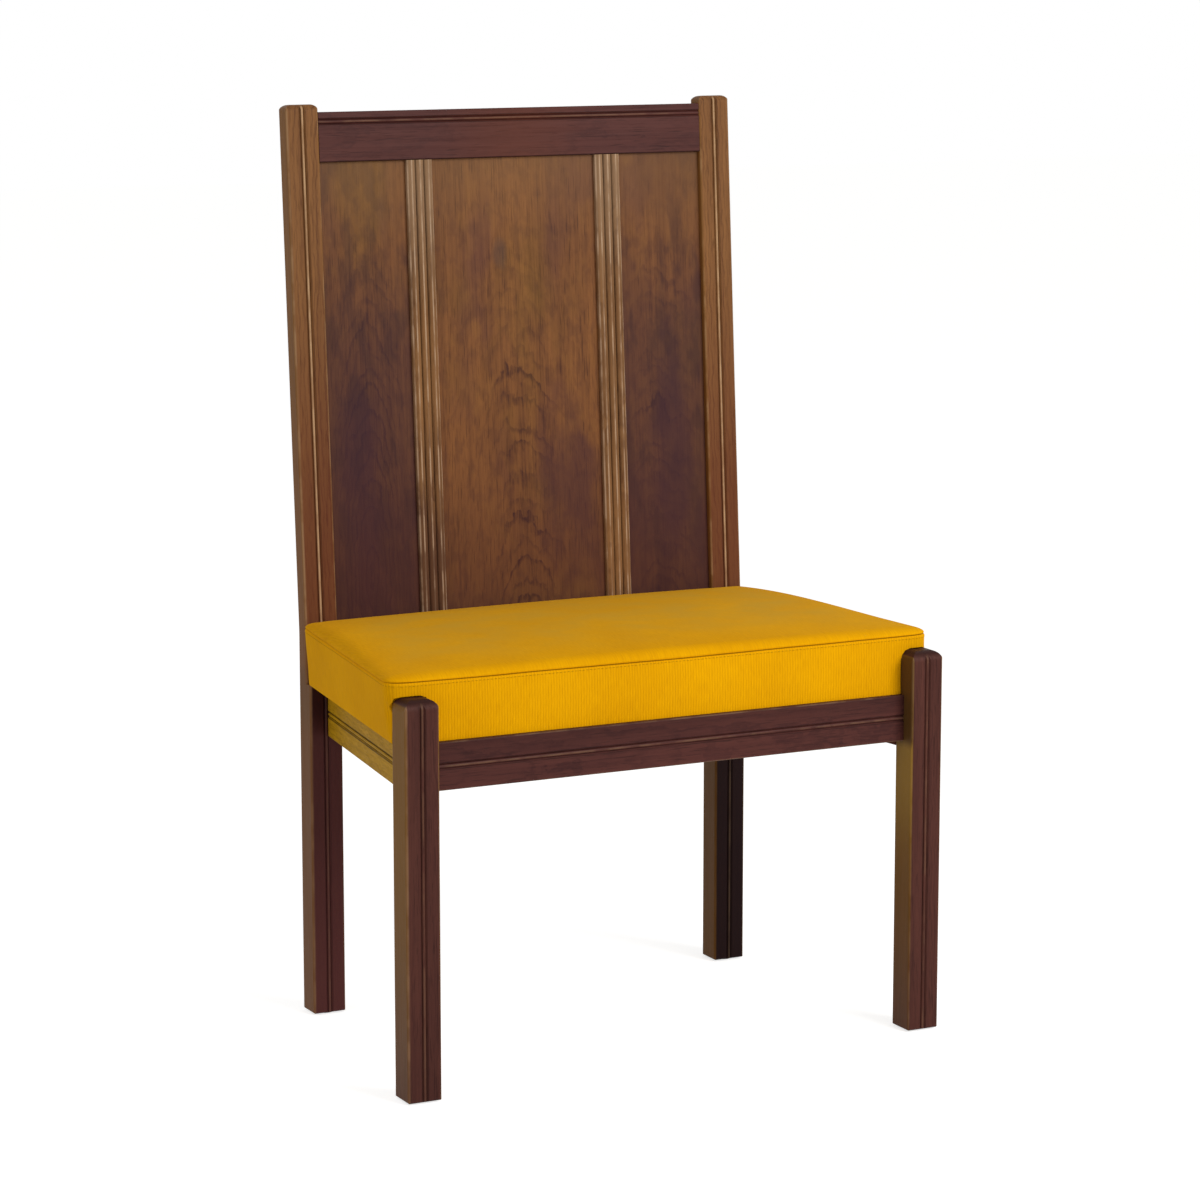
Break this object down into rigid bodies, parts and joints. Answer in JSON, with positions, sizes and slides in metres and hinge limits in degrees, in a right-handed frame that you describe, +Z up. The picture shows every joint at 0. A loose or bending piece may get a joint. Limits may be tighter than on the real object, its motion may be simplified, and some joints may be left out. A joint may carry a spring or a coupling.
{
  "type": "communion chair",
  "caption": "High-backed wooden church chair with a raked veneered panel back, reeded mouldings, beaded legs and rails, and a boxed upholstered slip seat.",
  "frame": {"origin": "on the floor, at the middle of the chair's overall width and depth", "axes": "+Z up, the chair faces -Y, +X is to the right of someone who looks at its front"},
  "size_m": [0.666, 0.4454, 1.0495],
  "materials": {
    "stained_frame": "dark walnut stain under satin lacquer",
    "panel_veneer": "flat-cut veneer, dark stain, satin lacquer",
    "plain_wood": "unfinished",
    "seat_fabric": "ribbed weave, mustard yellow",
    "seat_padding": "open-cell foam",
    "screw_steel": "zinc plated",
    "glide_nylon": "moulded"
  },
  "bodies": {
    "root": {"front_leg_left": "stained_frame", "front_leg_right": "stained_frame", "rear_post_left": "stained_frame", "rear_post_right": "stained_frame", "front_seat_rail": "stained_frame", "rear_seat_rail": "stained_frame", "side_seat_rail_left": "stained_frame", "side_seat_rail_right": "stained_frame", "top_back_rail": "stained_frame", "lower_back_rail": "stained_frame", "panel_moulding_left": "stained_frame", "panel_moulding_right": "stained_frame", "back_panel": "panel_veneer", "seat_board": "plain_wood", "corner_block_front_left": "plain_wood", "corner_block_front_right": "plain_wood", "corner_block_rear_left": "plain_wood", "corner_block_rear_right": "plain_wood", "front_rail_dowels": "plain_wood", "side_rail_dowels": "plain_wood", "rear_rail_dowels": "plain_wood", "lower_rail_dowels": "plain_wood", "top_rail_dowels": "plain_wood", "seat_cover": "seat_fabric", "seat_foam": "seat_padding", "corner_block_screws": "screw_steel", "seat_screws": "screw_steel", "leg_glides": "glide_nylon"}
  },
  "joints": []
}
